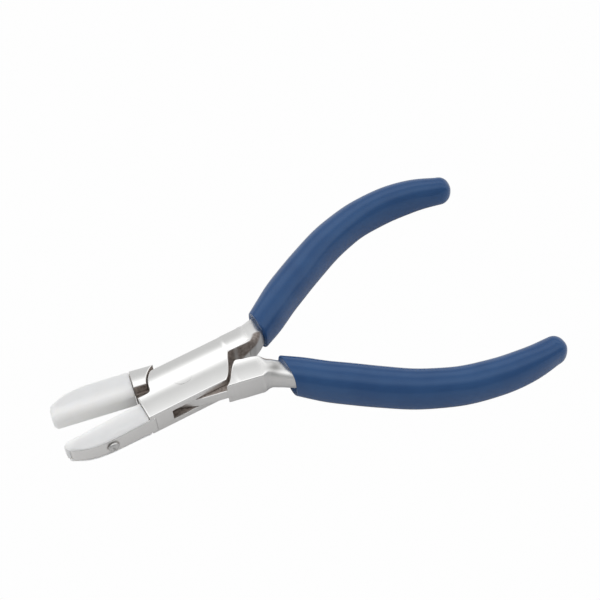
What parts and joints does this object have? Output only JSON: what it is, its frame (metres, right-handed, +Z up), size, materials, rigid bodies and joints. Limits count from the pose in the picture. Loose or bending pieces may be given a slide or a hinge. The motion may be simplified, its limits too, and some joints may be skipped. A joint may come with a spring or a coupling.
{
  "type": "flat nose pliers",
  "caption": "Flat nose pliers for jewellery work, with a box joint, replaceable nylon jaw pads and blue dipped grips.",
  "frame": {"origin": "middle of the part's footprint, on the surface it lies on", "axes": "+X along the tool from the jaws to the handles, +Y to the side of the box half's handle, +Z up along the joint's axis"},
  "size_m": [0.1375, 0.0824, 0.0128],
  "materials": {
    "box_half": "polished steel, box half",
    "tenon_half": "polished steel, tenon half",
    "pivot_rivet": "steel rivet dressed flush",
    "jaw_pad_box_side": "off-white nylon, slightly translucent",
    "jaw_pad_tenon_side": "off-white nylon, slightly translucent",
    "pad_screw_box_side": "plated steel screw",
    "pad_screw_tenon_side": "plated steel screw",
    "grip_box_side": "glossy dipped vinyl, blue",
    "grip_tenon_side": "glossy dipped vinyl, blue"
  },
  "bodies": {
    "box_side": {"box_half": "box_half", "pivot_rivet": "pivot_rivet", "jaw_pad_box_side": "jaw_pad_box_side", "pad_screw_box_side": "pad_screw_box_side", "grip_box_side": "grip_box_side"},
    "tenon_side": {"tenon_half": "tenon_half", "jaw_pad_tenon_side": "jaw_pad_tenon_side", "pad_screw_tenon_side": "pad_screw_tenon_side", "grip_tenon_side": "grip_tenon_side"}
  },
  "joints": [
    {"name": "box_joint", "type": "hinge", "parent": "box_side", "child": "tenon_side", "pos_m": [-0.0319, 0, 0.00642], "axis": [0, 0, -1], "range_deg": [-11.8, 17.6]}
  ]
}
